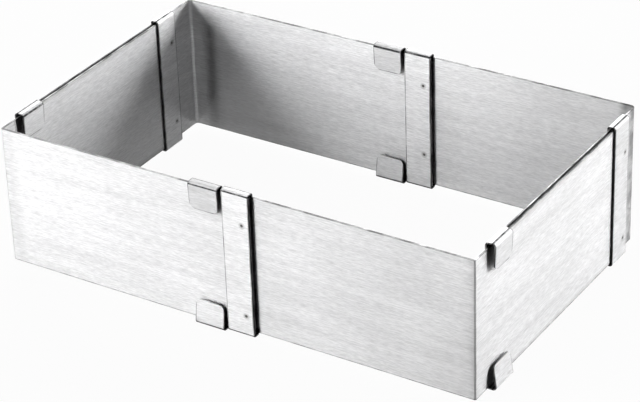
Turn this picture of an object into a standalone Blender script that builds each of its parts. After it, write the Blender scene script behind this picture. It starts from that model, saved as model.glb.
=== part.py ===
"""Adjustable rectangular mousse ring: four bent steel sheets that slide in each other.

Each wall is two sheets side by side. The carrying sheet ends in a guide band, which is
spot-welded to it and folds over both sheets. The sliding sheet ends in two hooks, which
are bent out of its own top and bottom edge and run along the carrying sheet.

Lengths are in metres, with +Z up. The ring stands on its folds, and the origin is on the
table, at the middle of the footprint.
"""

from collections import namedtuple
from math import radians, sin, tan

import bmesh
import bpy
from mathutils import Vector

# Overall outer size as set in use, corner to corner
OUTER_LENGTH = 0.2850
OUTER_WIDTH = 0.1800
SHEET_HEIGHT = 0.0800

# Sheet metal
SHEET_THICKNESS = 0.0008
SHEET_SPACING = 0.0012
CORNER_BEND_RADIUS = 0.0006

# Carrying legs of the long walls, from the corner to the end of the guide band
FRONT_CARRYING_LEG = 0.1555
BACK_CARRYING_LEG = 0.1605

# What the long walls can still be pulled out before the hooks meet the guide bands
LENGTH_LEFT_TO_STOP = 0.0010

# Short walls: the bare stretches between the corners and the bands or hooks
RIGHT_BAND_SETBACK = 0.0140
LEFT_BAND_SETBACK = 0.0205
RIGHT_HOOK_SETBACK = 0.0145
LEFT_HOOK_SETBACK = 0.0145

# Hooks, bent out of the sliding sheets
HOOK_WIDTH = 0.0175
HOOK_TAB_CORNER = 0.0040
TOP_HOOK_CLEARANCE = 0.0013
TOP_HOOK_STANDOFF = 0.0026
TOP_HOOK_TIP_STANDOFF = 0.0018
TOP_HOOK_REACH = 0.0132
TOP_HOOK_BEND_RADIUS = 0.0016
BOTTOM_HOOK_STANDOFF = 0.0032
BOTTOM_HOOK_TIP_STANDOFF = 0.0012
BOTTOM_HOOK_REACH = 0.0128
BOTTOM_HOOK_BEND_RADIUS = 0.0018

# Guide bands, spot-welded to the carrying sheets
BAND_WIDTH = 0.0160
BAND_FIT = 0.0003
BAND_TOP_CLEARANCE = 0.0008
BAND_BEND_RADIUS = 0.0012
BAND_LIP = 0.0060
BAND_LIP_CORNER = 0.0015

# Hooks and bands all stand on the table, so they reach equally far below the sheets
FOOT_CLEARANCE = 0.0012

# Spot welds: how far from the band's hook side, and how high on each band
WELD_INSET = 0.0118
WELD_DENT_RADIUS = 0.0012
WELD_DENT_DEPTH = 0.0003
FRONT_WELD_HEIGHTS = (0.0100, 0.0635)
RIGHT_WELD_HEIGHTS = (0.0100, 0.0620)
BACK_WELD_HEIGHTS = (0.0195, 0.0625)
LEFT_WELD_HEIGHTS = (0.0130, 0.0635)

# Fineness of the round stretches
BEND_STEPS = 7
TAB_CORNER_STEPS = 6
DENT_SEGMENTS = 28
SMOOTH_BELOW = radians(30)

# The sliding sheet lies one pitch behind the carrying sheet
SHEET_PITCH = SHEET_THICKNESS + SHEET_SPACING
HALF_SHEET = SHEET_THICKNESS / 2
HOOK_AND_BAND = HOOK_WIDTH + LENGTH_LEFT_TO_STOP + BAND_WIDTH

# Sliding legs follow from where the hooks lie on the carrying sheets
FRONT_SLIDING_LEG = OUTER_LENGTH - SHEET_PITCH - FRONT_CARRYING_LEG + HOOK_AND_BAND
BACK_SLIDING_LEG = OUTER_LENGTH - SHEET_PITCH - BACK_CARRYING_LEG + HOOK_AND_BAND
RIGHT_CARRYING_LEG = OUTER_WIDTH - SHEET_PITCH - RIGHT_BAND_SETBACK
LEFT_CARRYING_LEG = OUTER_WIDTH - SHEET_PITCH - LEFT_BAND_SETBACK
RIGHT_SLIDING_LEG = OUTER_WIDTH - SHEET_PITCH - RIGHT_HOOK_SETBACK
LEFT_SLIDING_LEG = OUTER_WIDTH - SHEET_PITCH - LEFT_HOOK_SETBACK

# Outer corners of the four sheets in plan: each wall's sliding sheet is set one pitch back
FRONT_LEFT_PLACE = (SHEET_PITCH, 0)
FRONT_RIGHT_PLACE = (OUTER_LENGTH, SHEET_PITCH)
BACK_RIGHT_PLACE = (OUTER_LENGTH - SHEET_PITCH, OUTER_WIDTH)
BACK_LEFT_PLACE = (0, OUTER_WIDTH - SHEET_PITCH)

# Finishes
SHEET_COLOUR = (0.72, 0.72, 0.73)
SHEET_ROUGHNESS = 0.32
BAND_COLOUR = (0.76, 0.76, 0.77)
BAND_ROUGHNESS = 0.28

ALONG_LENGTH = Vector((1, 0))
ALONG_WIDTH = Vector((0, 1))
OUTWARD = -1
INWARD = 1
PLAIN = 0

# A leg of a corner sheet: its direction away from the corner, its length, and the side
# that its hooks fold to, or PLAIN for a carrying leg
Leg = namedtuple("Leg", "direction length hook_side")


def clear_scene():
    for scene_object in list(bpy.data.objects):
        bpy.data.objects.remove(scene_object, do_unlink=True)


def new_collection(name):
    collection = bpy.data.collections.new(name)
    bpy.context.scene.collection.children.link(collection)
    return collection


def brushed_steel(name, colour, roughness):
    material = bpy.data.materials.new(name)
    material.use_nodes = True
    surface = material.node_tree.nodes["Principled BSDF"]
    surface.inputs["Base Color"].default_value = (*colour, 1)
    surface.inputs["Roughness"].default_value = roughness
    surface.inputs["Metallic"].default_value = 1
    return material


def arc_at_corner(before, corner, after, radius):
    """Points of the arc that rounds one corner of a path, from run to run."""
    to_before = (before - corner).normalized()
    to_after = (after - corner).normalized()
    half_angle = to_before.angle(to_after) / 2
    setback = radius / tan(half_angle)
    centre = corner + (to_before + to_after).normalized() * radius / sin(half_angle)
    start = corner + to_before * setback - centre
    finish = corner + to_after * setback - centre
    sweep = start.angle(finish)
    points = []
    for step in range(BEND_STEPS + 1):
        turned = sweep * step / BEND_STEPS
        spoke = (start * sin(sweep - turned) + finish * sin(turned)) / sin(sweep)
        points.append(centre + spoke)
    return points


def rounded_path(corners, radii):
    """Straight runs between the corners, with each inner corner rounded to its radius."""
    path = [corners[0]]
    for before, corner, after, radius in zip(corners, corners[1:], corners[2:], radii):
        path.extend(arc_at_corner(before, corner, after, radius))
    path.append(corners[-1])
    return path


def draw_path(surface, places):
    """Lay a chain of edges through the given places and return the edges."""
    points = [surface.verts.new(place) for place in places]
    return [surface.edges.new(pair) for pair in zip(points, points[1:])]


def pull_edges(surface, edges, step):
    """Extrude edges by one step and return the new edges at the far side."""
    pulled = bmesh.ops.extrude_edge_only(surface, edges=edges)["geom"]
    points = {item for item in pulled if isinstance(item, bmesh.types.BMVert)}
    bmesh.ops.translate(surface, verts=list(points), vec=step)
    return [item for item in pulled if isinstance(item, bmesh.types.BMEdge) and set(item.verts) <= points]


def round_corners(surface, edges, radius):
    """Round the free corners that the given edges reach."""
    points = {point for edge in edges for point in edge.verts}
    corners = [point for point in points if len(point.link_faces) == 1]
    bmesh.ops.bevel(
        surface, geom=corners, offset=radius, segments=TAB_CORNER_STEPS, profile=0.5, affect="VERTICES"
    )


def top_hook_path():
    """Section of a top hook, from the sheet's edge: across the wall, then height."""
    rise = TOP_HOOK_CLEARANCE + HALF_SHEET
    over = SHEET_PITCH + SHEET_THICKNESS
    corners = [
        Vector((0, SHEET_HEIGHT)),
        Vector((0, SHEET_HEIGHT + rise)),
        Vector((over + TOP_HOOK_STANDOFF, SHEET_HEIGHT + rise)),
        Vector((over + TOP_HOOK_TIP_STANDOFF, SHEET_HEIGHT - TOP_HOOK_REACH)),
    ]
    return rounded_path(corners, (rise, TOP_HOOK_BEND_RADIUS))[1:]


def bottom_hook_path():
    """Section of a bottom hook, from the sheet's edge: across the wall, then height."""
    drop = FOOT_CLEARANCE + HALF_SHEET
    over = SHEET_PITCH + SHEET_THICKNESS
    corners = [
        Vector((0, 0)),
        Vector((0, -drop)),
        Vector((over + BOTTOM_HOOK_STANDOFF, -drop)),
        Vector((over + BOTTOM_HOOK_TIP_STANDOFF, BOTTOM_HOOK_REACH)),
    ]
    return rounded_path(corners, (drop, BOTTOM_HOOK_BEND_RADIUS))[1:]


def band_path():
    """Section of a guide band from lip to lip: across the wall, then height."""
    face = SHEET_PITCH + SHEET_THICKNESS + BAND_FIT
    lip = -(SHEET_THICKNESS + BAND_FIT)
    top = SHEET_HEIGHT + BAND_TOP_CLEARANCE + HALF_SHEET
    foot = -(FOOT_CLEARANCE + HALF_SHEET)
    corners = [
        Vector((lip, SHEET_HEIGHT - BAND_LIP)),
        Vector((lip, top)),
        Vector((face, top)),
        Vector((face, foot)),
        Vector((lip, foot)),
        Vector((lip, BAND_LIP)),
    ]
    return rounded_path(corners, (BAND_BEND_RADIUS,) * 4)


def hook_stretch_edges(surface, leg, height):
    """Edges of the sheet at one height that the leg's hook grows from."""
    chosen = []
    for edge in surface.edges:
        near, far = (point.co for point in edge.verts)
        level = max(abs(near.z - height), abs(far.z - height)) < HALF_SHEET
        if level and near.lerp(far, 0.5).xy.dot(leg.direction) > leg.length - HOOK_WIDTH:
            chosen.append(edge)
    return chosen


def fold_hook(surface, leg, other_leg, path):
    """Bend one hook out of the sheet's edge along the section path."""
    across = other_leg.direction * leg.hook_side
    edges = hook_stretch_edges(surface, leg, path[0].y)
    for here, there in zip(path, path[1:]):
        move = there - here
        edges = pull_edges(surface, edges, Vector((*(across * move.x), move.y)))
    round_corners(surface, edges, HOOK_TAB_CORNER)


def thicken(part, parts):
    """Give an open surface the sheet's thickness, half to each side."""
    parts.objects.link(part)
    solidify = part.modifiers.new("sheet", "SOLIDIFY")
    solidify.thickness = SHEET_THICKNESS
    solidify.offset = 0
    solidify.use_even_offset = True


def settle_mesh(part):
    """Turn the part's modifiers into plain mesh and shade its bends smooth."""
    bpy.context.view_layer.update()
    evaluated = part.evaluated_get(bpy.context.evaluated_depsgraph_get())
    mesh = bpy.data.meshes.new_from_object(evaluated)
    mesh.name = part.name
    part.modifiers.clear()
    part.data = mesh
    mesh.shade_smooth()
    mesh.set_sharp_from_angle(angle=SMOOTH_BELOW)


def surface_object(name, surface, material):
    bmesh.ops.recalc_face_normals(surface, faces=surface.faces)
    mesh = bpy.data.meshes.new(name)
    surface.to_mesh(mesh)
    surface.free()
    mesh.materials.append(material)
    return bpy.data.objects.new(name, mesh)


def leg_plan(leg, other_leg):
    """Plan points of one leg from its free end, with a point where its hook starts."""
    inset = other_leg.direction * HALF_SHEET
    plan = [leg.direction * leg.length + inset]
    if leg.hook_side != PLAIN:
        plan.append(leg.direction * (leg.length - HOOK_WIDTH) + inset)
    return plan


def corner_sheet(name, first, second, material, parts):
    """An L-bent sheet with its outer corner at the origin, and hooks on its sliding legs."""
    bend = (first.direction + second.direction) * HALF_SHEET
    start = leg_plan(first, second)
    finish = leg_plan(second, first)
    corner = arc_at_corner(start[-1], bend, finish[-1], CORNER_BEND_RADIUS)
    plan = start + corner + finish[::-1]
    surface = bmesh.new()
    edges = draw_path(surface, [(*place, 0) for place in plan])
    pull_edges(surface, edges, Vector((0, 0, SHEET_HEIGHT)))
    for leg, other_leg in ((first, second), (second, first)):
        if leg.hook_side != PLAIN:
            fold_hook(surface, leg, other_leg, top_hook_path())
            fold_hook(surface, leg, other_leg, bottom_hook_path())
    sheet = surface_object(name, surface, material)
    thicken(sheet, parts)
    settle_mesh(sheet)
    return sheet


def weld_dent_cutter(name, run, across, heights, cutters):
    """Balls that press the two weld dents into a band's face."""
    ball_radius = (WELD_DENT_RADIUS**2 + WELD_DENT_DEPTH**2) / (2 * WELD_DENT_DEPTH)
    from_sheet = BAND_FIT + SHEET_THICKNESS + ball_radius - WELD_DENT_DEPTH
    from_end = BAND_WIDTH - WELD_INSET
    balls = bmesh.new()
    for height in heights:
        place = across * from_sheet - run * from_end
        ball = bmesh.ops.create_uvsphere(
            balls, u_segments=DENT_SEGMENTS, v_segments=DENT_SEGMENTS, radius=ball_radius
        )
        pole = Vector((0, 0, 1)).rotation_difference(Vector((*across, 0))).to_matrix()
        bmesh.ops.rotate(balls, verts=ball["verts"], cent=(0, 0, 0), matrix=pole)
        bmesh.ops.translate(balls, verts=ball["verts"], vec=(*place, height))
    mesh = bpy.data.meshes.new(name)
    balls.to_mesh(mesh)
    balls.free()
    cutter = bpy.data.objects.new(name, mesh)
    cutter.hide_render = True
    cutter.display_type = "WIRE"
    cutters.objects.link(cutter)
    return cutter


def guide_band(name, run, across, weld_heights, material, parts, cutters):
    """A folded band whose origin is the end of its carrying sheet, on the outer face."""
    from_sheet_face = SHEET_PITCH + HALF_SHEET
    places = []
    for point in band_path():
        places.append((*(across * (point.x - from_sheet_face) - run * BAND_WIDTH), point.y))
    surface = bmesh.new()
    edges = draw_path(surface, places)
    pull_edges(surface, edges, Vector((*(run * BAND_WIDTH), 0)))
    round_corners(surface, surface.edges, BAND_LIP_CORNER)
    band = surface_object(name, surface, material)
    thicken(band, parts)
    dents = band.modifiers.new("weld_dents", "BOOLEAN")
    dents.operation = "DIFFERENCE"
    dents.object = weld_dent_cutter(name + "_weld_dents", run, across, weld_heights, cutters)
    dents.object.parent = band
    settle_mesh(band)
    return band


def corner_seat(name, place, parts, parent=None, parent_place=(0, 0)):
    """The seat of one corner's pieces, at its sheet's outer corner and lower edge."""
    empty = bpy.data.objects.new(name, None)
    parts.objects.link(empty)
    empty.parent = parent
    empty.location = (*(Vector(place) - Vector(parent_place)), 0)
    return empty


def seat(part, corner, place=(0, 0)):
    part.parent = corner
    part.location = (*place, 0)


def stand_on_table(root, parts):
    """Move the root so that the footprint's middle is the origin and the folds touch the table."""
    bpy.context.view_layer.update()
    points = []
    for part in parts.objects:
        if part.type == "MESH":
            points.extend(part.matrix_world @ vertex.co for vertex in part.data.vertices)
    low = Vector(map(min, zip(*points)))
    high = Vector(map(max, zip(*points)))
    middle = (low + high) / 2
    root.location -= Vector((middle.x, middle.y, low.z))
    bpy.context.view_layer.update()


def build_front_left(corner, parts, cutters):
    """The still corner: it carries the guide bands of the front and the left wall."""
    steel = brushed_steel("front_left_corner", SHEET_COLOUR, SHEET_ROUGHNESS)
    front = Leg(ALONG_LENGTH, FRONT_CARRYING_LEG, PLAIN)
    left = Leg(ALONG_WIDTH, LEFT_CARRYING_LEG, PLAIN)
    seat(corner_sheet("front_left_corner", front, left, steel, parts), corner)

    steel = brushed_steel("front_guide_band", BAND_COLOUR, BAND_ROUGHNESS)
    band = guide_band(
        "front_guide_band", ALONG_LENGTH, -ALONG_WIDTH, FRONT_WELD_HEIGHTS, steel, parts, cutters
    )
    seat(band, corner, (FRONT_CARRYING_LEG, 0))

    steel = brushed_steel("left_guide_band", BAND_COLOUR, BAND_ROUGHNESS)
    band = guide_band(
        "left_guide_band", ALONG_WIDTH, ALONG_LENGTH, LEFT_WELD_HEIGHTS, steel, parts, cutters
    )
    seat(band, corner, (SHEET_THICKNESS, LEFT_CARRYING_LEG))


def build_front_right(corner, parts, cutters):
    """Slides along the length, and carries the guide band of the right wall."""
    steel = brushed_steel("front_right_corner", SHEET_COLOUR, SHEET_ROUGHNESS)
    front = Leg(-ALONG_LENGTH, FRONT_SLIDING_LEG, OUTWARD)
    right = Leg(ALONG_WIDTH, RIGHT_CARRYING_LEG, PLAIN)
    seat(corner_sheet("front_right_corner", front, right, steel, parts), corner)

    steel = brushed_steel("right_guide_band", BAND_COLOUR, BAND_ROUGHNESS)
    band = guide_band(
        "right_guide_band", ALONG_WIDTH, ALONG_LENGTH, RIGHT_WELD_HEIGHTS, steel, parts, cutters
    )
    seat(band, corner, (0, RIGHT_CARRYING_LEG))


def build_back_left(corner, parts, cutters):
    """Slides along the width, and carries the guide band of the back wall."""
    steel = brushed_steel("back_left_corner", SHEET_COLOUR, SHEET_ROUGHNESS)
    back = Leg(ALONG_LENGTH, BACK_CARRYING_LEG, PLAIN)
    left = Leg(-ALONG_WIDTH, LEFT_SLIDING_LEG, INWARD)
    seat(corner_sheet("back_left_corner", back, left, steel, parts), corner)

    steel = brushed_steel("back_guide_band", BAND_COLOUR, BAND_ROUGHNESS)
    band = guide_band(
        "back_guide_band", ALONG_LENGTH, -ALONG_WIDTH, BACK_WELD_HEIGHTS, steel, parts, cutters
    )
    seat(band, corner, (BACK_CARRYING_LEG, -SHEET_THICKNESS))


def build_back_right(corner, parts):
    """Slides along both walls; both of its legs end in hooks."""
    steel = brushed_steel("back_right_corner", SHEET_COLOUR, SHEET_ROUGHNESS)
    back = Leg(-ALONG_LENGTH, BACK_SLIDING_LEG, INWARD)
    right = Leg(-ALONG_WIDTH, RIGHT_SLIDING_LEG, OUTWARD)
    seat(corner_sheet("back_right_corner", back, right, steel, parts), corner)


def main():
    clear_scene()
    parts = new_collection("adjustable_mousse_ring")
    cutters = new_collection("cutters")

    front_left = corner_seat("front_left_seat", FRONT_LEFT_PLACE, parts)
    front_right = corner_seat("length_slide", FRONT_RIGHT_PLACE, parts, front_left, FRONT_LEFT_PLACE)
    back_left = corner_seat("left_width_slide", BACK_LEFT_PLACE, parts, front_left, FRONT_LEFT_PLACE)
    back_right = corner_seat("right_width_slide", BACK_RIGHT_PLACE, parts, front_right, FRONT_RIGHT_PLACE)

    build_front_left(front_left, parts, cutters)
    build_front_right(front_right, parts, cutters)
    build_back_left(back_left, parts, cutters)
    build_back_right(back_right, parts)
    stand_on_table(front_left, parts)


main()
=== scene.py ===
"""Adjustable mousse ring, dressed: four bent sheets of brushed steel with their guide bands.

Every piece is cut as a flat blank and folded by one Geometry Nodes tree, as a press brake
would fold it. Lengths are in metres, with +Z up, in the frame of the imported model.
"""

from collections import namedtuple
from math import ceil, cos, hypot, pi, radians, sin, sqrt, tan

import bpy
from bpy.props import FloatProperty, FloatVectorProperty, IntProperty, PointerProperty
from mathutils import Matrix, Vector


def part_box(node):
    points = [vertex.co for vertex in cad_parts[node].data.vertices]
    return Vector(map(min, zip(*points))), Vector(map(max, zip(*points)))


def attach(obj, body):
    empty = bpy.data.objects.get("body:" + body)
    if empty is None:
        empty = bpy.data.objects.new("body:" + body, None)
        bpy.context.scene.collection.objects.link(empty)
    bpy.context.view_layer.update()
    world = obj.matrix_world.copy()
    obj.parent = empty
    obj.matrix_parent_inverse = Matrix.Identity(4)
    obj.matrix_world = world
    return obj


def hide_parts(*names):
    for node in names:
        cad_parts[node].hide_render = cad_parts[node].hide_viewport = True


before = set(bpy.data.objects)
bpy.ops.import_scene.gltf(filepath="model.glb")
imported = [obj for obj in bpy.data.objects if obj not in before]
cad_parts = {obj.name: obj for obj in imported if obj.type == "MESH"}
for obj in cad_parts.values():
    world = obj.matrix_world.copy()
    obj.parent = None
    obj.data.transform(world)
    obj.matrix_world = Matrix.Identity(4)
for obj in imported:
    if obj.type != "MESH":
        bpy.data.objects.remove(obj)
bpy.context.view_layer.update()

bl_info = {
    "name": "Adjustable Mousse Ring",
    "version": (1, 0, 0),
    "blender": (4, 5, 0),
    "location": "3D View > Sidebar > Mousse Ring",
    "description": "Folds, finishes and lights a sliding steel mousse ring",
    "category": "Object",
}

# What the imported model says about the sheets
SHEET_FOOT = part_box("front_left_corner")[0].z
SHEET_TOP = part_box("front_left_corner")[1].z
SHEET_HEIGHT = SHEET_TOP - SHEET_FOOT
HOOK_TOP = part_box("front_right_corner")[1].z
HOOK_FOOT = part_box("front_right_corner")[0].z

# Which side a hook folds to, seen while walking round the ring with the mould space on the left
OUTWARD = -1
PLAIN = 0
INWARD = 1

# Names of what the blanks carry for the folding and for the finish
# The press, edge and bend distances and the hollow side also place painted shade and painted highlights in
# the finish
BLANK_MAP = "blank"
FOLD_SIDE = "fold_side"
WELD_DISTANCE = "weld_distance"
EDGE_DISTANCE = "edge_distance"
FOLD_SHADE_DISTANCE = "press_distance"
HOLLOW_SIDE = "hollow_side"
BEND_DISTANCE = "bend_distance"
WAVE_SHARE = "wave_share"

# A distance that nothing on the ring reaches, for what isn't there
FAR = 1.0

# The folds of a blank and their measures, as the folding tree names them
FOLD_NAMES = ("Top First Fold", "Top Second Fold", "Foot First Fold", "Foot Second Fold", "Corner")
FOLD_MEASURES = ("Start", "Radius", "Angle")

# Kinds of node sockets
FLOAT = "NodeSocketFloat"
VECTOR = "NodeSocketVector"
COLOUR = "NodeSocketColor"
GEOMETRY = "NodeSocketGeometry"
MATERIAL = "NodeSocketMaterial"

# How finely the blanks are gridded, and how far the fine grid reaches round a weld, in its radii
WALL_GRID = 0.004
BAND_GRID = 0.003
TAB_GRID = 0.0015
CORNER_STEPS = 6
WELD_SURROUND = 1.4
TOLERANCE = 1e-7

# Between faces at less than the first angle the steel looks smooth, and edges sharper than the
# second are rounded off
SMOOTH_BELOW = radians(20)
ROUNDED_ABOVE = radians(60)
ROUNDING_FACES = 2

# How far apart the blanks lie on the map, so that no two share their brush marks
MAP_STEP = Vector((0.5, 0.3))
BAND_MAP_START = Vector((0.0, 2.0))

# How many marks the finish has in a metre, along and across the brushing
HAIRLINES_PER_METRE = (400, 5200, 1)
STREAKS_PER_METRE = (180, 1500, 1)
BANDS_PER_METRE = (12, 220, 1)
CLOUDS_PER_METRE = (11, 14, 1)
# How finely the painted shade lines and patches are broken into spots
FOLD_SHADE_SPOTS_PER_METRE = (240, 240, 1)
PATCHES_PER_METRE = (90, 90, 1)
SHEAR_MARKS_PER_METRE = (900, 900, 900)

# How much each kind of brush mark adds to the tone, and how much the finest detail counts
HAIRLINE_SHARE = 0.35
STREAK_SHARE = 0.45
BROAD_SHARE = 0.20
FINE_DETAIL = 0.6

# How much the streaks add to the grooves, and how much rougher hazy patches are
GROOVE_STREAK_SHARE = 0.2
HAZE_ROUGHNESS = 0.05

# Between which noise values the marks fade in
BRUSHED_SPAN = (0.30, 0.70)
HAZE_SPAN = (0.35, 0.65)
GROOVE_SPAN = (0.50, 0.72)
SHEARED_SPAN = (0.30, 0.70)
ROUGH_SHEAR_SPAN = (0.20, 0.80)

# How far the sheared edges vary in colour and in roughness
SHEAR_CONTRAST = 0.2
SHEAR_ROUGHNESS = 0.1

# Where a weld's bowl and the ring round it fade out, in weld radii, and how strong the ring is
WELD_BOWL = (0.7, 1.05)
WELD_RING = (1.0, 2.2)
WELD_RING_SHARE = 0.35

# Where the painted shade on the shut-in side of the steel and the dimming of its outer side fade in, and
# how patchy both are
GAP_SHADE_SPAN = (0.1, 0.6)
OUTSIDE_DIMMED_SPAN = (-0.6, -0.1)
DIMMED_SPOTS = (0.30, 0.70)
DIMMED_BETWEEN_SPOTS = 0.8

# Turn of the stretched reflections, in full turns: across the brush marks
ACROSS_THE_BRUSHING = 0.25

# How dark the painted shade along the upright bend of each sheet is
BEND_SHADES = {"front_left": 0.1, "front_right": 0.0, "back_right": 0.75, "back_left": 0.0}

# The light panels, and what each is given
PANELS = ("front", "side", "back")
PANEL_SIZES = ("azimuth", "spread", "height", "light")

# Plain white, and the camera's sensor width in millimetres and how near and how far it sees
WHITE = (1, 1, 1, 1)
SENSOR_WIDTH = 36
NEAREST_SEEN = 0.01
FARTHEST_SEEN = 100

# A leg's, a tab's and a band's press field tells where its painted fold shade lines lie
Leg = namedtuple("Leg", "length hook_side overlap press")
Tab = namedtuple("Tab", "start end side press")
Corner = namedtuple("Corner", "piece node body radius turn place arriving leaving")
Band = namedtuple("Band", "piece node body turn press weld_heights")
Fold = namedtuple("Fold", "start radius angle")
Flange = namedtuple("Flange", "folds length")
Press = namedtuple("Press", "first second top_fineness")
Mark = namedtuple("Mark", "distance border spots_per_metre spots between_spots")

NO_FOLD = Fold(FAR, FAR, 0)
UNFOLDED = Flange((NO_FOLD, NO_FOLD), 0)

# Painted lines that run along the steel: shade in the folds, along the rims and along the bends, and a
# burnished rim that is also a painted highlight. For each: what their distance is taken from and where they
# fade out, in their own widths; then how dense their spots are, between which noise values a spot fades in,
# and how much of the line is left between the spots
MARKS = {
    "press_mark": Mark(FOLD_SHADE_DISTANCE, (0.4, 1.0), FOLD_SHADE_SPOTS_PER_METRE, (0.25, 0.55), 0.7),
    "burnished_rim": Mark(EDGE_DISTANCE, (0.0, 1.0), PATCHES_PER_METRE, (0.40, 0.60), 0.5),
    "burr": Mark(EDGE_DISTANCE, (0.30, 0.85), PATCHES_PER_METRE, (0.40, 0.60), 0.5),
    "scuffed_bend": Mark(BEND_DISTANCE, (0.5, 1.2), PATCHES_PER_METRE, (0.35, 0.65), 0.6),
}

# Where a line of painted fold shade can lie in a fold, as a share of the way from the strip between the two
# folds to the upright faces, and how many times finer it can be at the top
AT_STRIP = 0.00
NEAR_STRIP = 0.20
NEAR_FACE = 0.68
AS_WIDE = 1.0
FINER = 1.5

# The painted fold shade lines in the two folds of each wall's hooks and bands
FRONT_FOLD_SHADE = Press(NEAR_STRIP, NEAR_FACE, FINER)
RIGHT_FOLD_SHADE = Press(NEAR_FACE, AT_STRIP, AS_WIDE)
BACK_FOLD_SHADE = Press(NEAR_FACE, NEAR_FACE, AS_WIDE)
LEFT_FOLD_SHADE = Press(AT_STRIP, NEAR_FACE, AS_WIDE)
FRONT_BAND_FOLD_SHADE = Press(NEAR_FACE, NEAR_STRIP, FINER)
RIGHT_BAND_FOLD_SHADE = Press(AT_STRIP, NEAR_FACE, AS_WIDE)

BANDS = (
    Band("front_band", "front_guide_band", "front_left", 0, FRONT_BAND_FOLD_SHADE, (0.0100, 0.0635)),
    Band("left_band", "left_guide_band", "front_left", radians(90), LEFT_FOLD_SHADE, (0.0130, 0.0635)),
    Band("right_band", "right_guide_band", "front_right", radians(90), RIGHT_BAND_FOLD_SHADE, (0.0100, 0.0620)),
    Band("back_band", "back_guide_band", "back_left", 0, BACK_FOLD_SHADE, (0.0195, 0.0625)),
)


def length_property(name, description, default):
    return FloatProperty(
        name=name, description=description, default=default, min=0, unit="LENGTH", precision=5
    )


def angle_property(name, description, degrees):
    return FloatProperty(name=name, description=description, default=radians(degrees), subtype="ANGLE")


def share_property(name, description, default):
    return FloatProperty(
        name=name, description=description, default=default, min=0, max=1, subtype="FACTOR"
    )


def amount_property(name, description, default):
    return FloatProperty(name=name, description=description, default=default, min=0)


def colour_property(name, description, default):
    return FloatVectorProperty(
        name=name, description=description, default=default, size=3, min=0, max=1, subtype="COLOR"
    )


class RingSheetSizes(bpy.types.PropertyGroup):
    """Sizes of the steel sheet and of its corner bends"""

    thickness: length_property("Thickness", "Thickness of the steel sheet", 0.0008)
    pitch: length_property("Pitch", "Distance between the two sheets of a wall, middle to middle", 0.0020)
    corner_radius: length_property("Corner Radius", "Radius of the upright bends, at mid-sheet", 0.00045)
    back_left_radius: length_property("Back Left Radius", "The same at the back left corner", 0.0026)
    back_right_radius: length_property("Back Right Radius", "The same at the back right corner", 0.0022)
    edge_rounding: length_property("Edge Rounding", "How far the cut edges are rounded off", 0.0001)
    wave_height: length_property("Wave Height", "How far a sheet departs from flat", 0.00016)
    wave_inset: length_property("Wave Inset", "How far the free ends stay flat", 0.020)
    wave_length: length_property("Wave Length", "Distance over which a sheet waves", 0.065)
    bend_steps: IntProperty(name="Bend Steps", description="Faces in each bend", default=12, min=2)


class RingHookSizes(bpy.types.PropertyGroup):
    """Sizes of the hooks, which are bent out of the sliding sheets"""

    width: length_property("Width", "Width of a hook along the wall", 0.0175)
    tab_corner: length_property("Tab Corner", "Corner radius of a hook's tab", 0.0040)
    top_standoff: length_property("Top Stand-off", "From the carrying sheet to the top fold", 0.0026)
    top_tip_standoff: length_property("Top Tip Stand-off", "From carrying sheet to the tab's tip", 0.0018)
    top_reach: length_property("Top Reach", "How far the top tab reaches down", 0.0132)
    top_radius: length_property("Top Fold Radius", "Radius of the top fold, at mid-sheet", 0.0016)
    foot_standoff: length_property("Foot Stand-off", "From the carrying sheet to the foot fold", 0.00317)
    foot_tip_standoff: length_property("Foot Tip Stand-off", "From carrying sheet to the tab's tip", 0.0012)
    foot_reach: length_property("Foot Reach", "How far the foot tab reaches up", 0.0128)
    foot_radius: length_property("Foot Fold Radius", "Radius of the foot fold, at mid-sheet", 0.0018)


class RingBandSizes(bpy.types.PropertyGroup):
    """Sizes of the guide bands, which are spot-welded to the carrying sheets"""

    fold_radius: length_property("Fold Radius", "Radius of the band's folds, at mid-sheet", 0.0012)
    lip: length_property("Lip", "How far the lips reach over the sheets' edges", 0.0060)
    lip_corner: length_property("Lip Corner", "Corner radius of a lip", 0.0015)
    weld_inset: length_property("Weld Inset", "From the band's hook side to its welds", 0.0118)
    weld_radius: length_property("Weld Radius", "Radius of a weld dent", 0.0011)
    weld_depth: length_property("Weld Depth", "Depth of a weld dent", 0.00028)
    weld_grid: length_property("Weld Grid", "Face size around a weld dent", 0.00025)


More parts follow.
